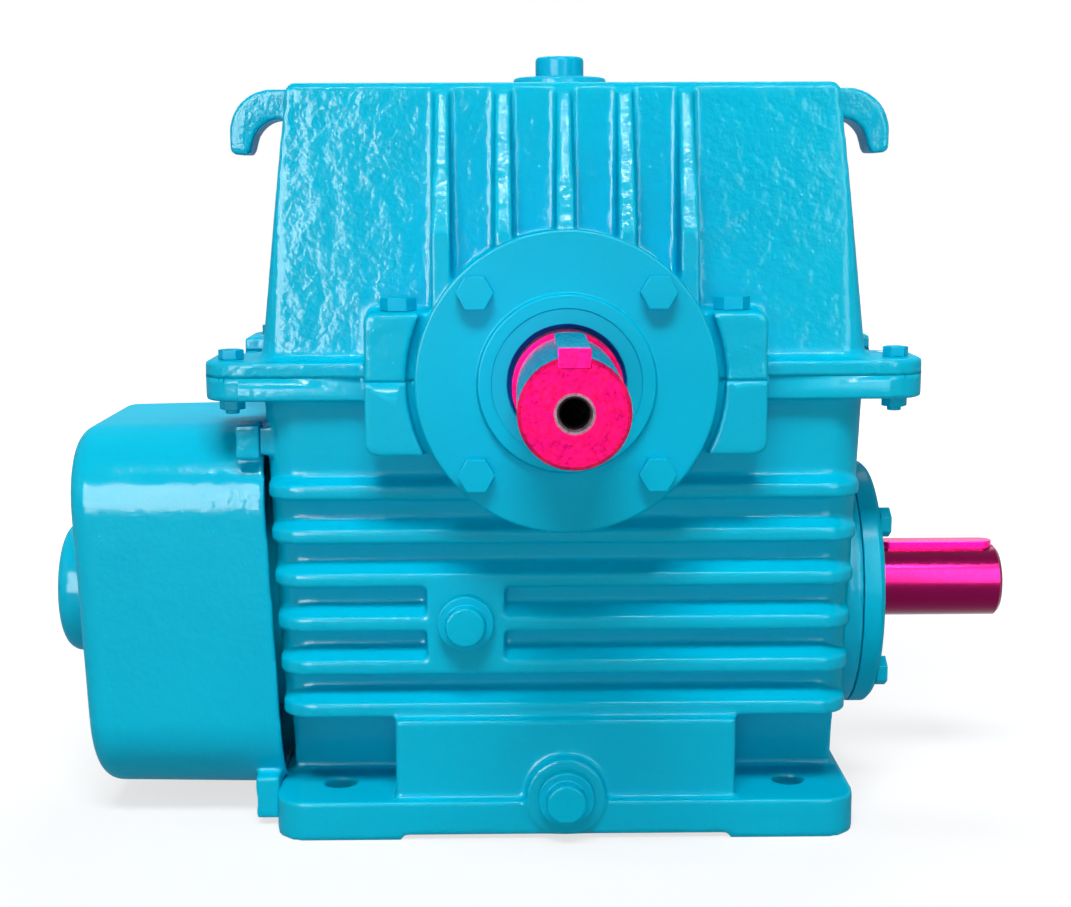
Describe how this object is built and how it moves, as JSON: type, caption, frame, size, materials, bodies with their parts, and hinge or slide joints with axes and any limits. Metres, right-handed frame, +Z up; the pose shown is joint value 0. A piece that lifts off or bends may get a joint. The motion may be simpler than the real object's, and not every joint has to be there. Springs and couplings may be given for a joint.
{
  "type": "worm gearbox",
  "caption": "Under-driven worm reducer with a split finned cast case, fan cowl, foot mounting, horizontal input shaft and a crossed, keyed output shaft.",
  "frame": {"origin": "on the foot plane, at the middle of the four foot bolt holes, below the middle of the worm wheel", "axes": "+X along the worm towards the input shaft, -Y along the output shaft towards its keyed end, +Z up"},
  "size_m": [0.591, 0.4285, 0.4534],
  "materials": {
    "turquoise_enamel": "glossy enamel over rough cast iron",
    "magenta_shaft": "magenta metallic coat over turned steel",
    "bearing_steel": "ground",
    "seal_rubber": "satin",
    "wheel_bronze": "hobbed bronze",
    "wheel_iron": "turned and cast",
    "fan_aluminium": "as cast",
    "gasket_fibre": "pressed fibre sheet",
    "washer_copper": "soft copper"
  },
  "bodies": {
    "housing": {"lower_case": "turquoise_enamel", "upper_case": "turquoise_enamel", "case_bolts": "turquoise_enamel", "case_nuts": "turquoise_enamel", "bearing_cap_bolts": "turquoise_enamel", "case_dowels": "bearing_steel", "output_cover_front": "turquoise_enamel", "output_cover_rear": "turquoise_enamel", "output_cover_bolts_front": "turquoise_enamel", "output_cover_bolts_rear": "turquoise_enamel", "output_cover_gaskets": "gasket_fibre", "output_bearing_cup_front": "bearing_steel", "output_bearing_cup_rear": "bearing_steel", "output_seal": "seal_rubber", "worm_cover_drive_end": "turquoise_enamel", "worm_cover_fan_end": "turquoise_enamel", "worm_cover_bolts_drive_end": "turquoise_enamel", "worm_cover_bolts_fan_end": "turquoise_enamel", "worm_cover_gaskets": "gasket_fibre", "worm_bearing_cup_drive_end": "bearing_steel", "worm_bearing_cup_fan_end": "bearing_steel", "worm_seal_drive_end": "seal_rubber", "worm_seal_fan_end": "seal_rubber", "filler_plug": "turquoise_enamel", "level_plug": "turquoise_enamel", "drain_plug": "turquoise_enamel", "plug_washers": "washer_copper", "fan_cowl": "turquoise_enamel", "cowl_bolts": "turquoise_enamel"},
    "wheel_shaft": {"output_shaft": "magenta_shaft", "output_key": "magenta_shaft", "wheel_key": "bearing_steel", "wheel_centre": "wheel_iron", "worm_wheel_rim": "wheel_bronze", "rim_screws": "bearing_steel", "wheel_spacer": "bearing_steel", "output_bearing_cone_front": "bearing_steel", "output_bearing_cone_rear": "bearing_steel"},
    "worm": {"worm_shaft": "magenta_shaft", "input_key": "magenta_shaft", "fan_key": "bearing_steel", "fan": "fan_aluminium", "fan_retaining_ring": "bearing_steel", "worm_bearing_cone_drive_end": "bearing_steel", "worm_bearing_cone_fan_end": "bearing_steel"}
  },
  "joints": [
    {"name": "output_spin", "type": "hinge", "parent": "housing", "child": "wheel_shaft", "pos_m": [0, 0, 0.269], "axis": [0, 1, 0], "continuous": true},
    {"name": "worm_spin", "type": "hinge", "parent": "housing", "child": "worm", "pos_m": [0, 0, 0.125], "axis": [1, 0, 0], "continuous": true}
  ],
  "couplings": [
    {"joint": "worm_spin", "follows": "output_spin", "ratio": 19}
  ]
}
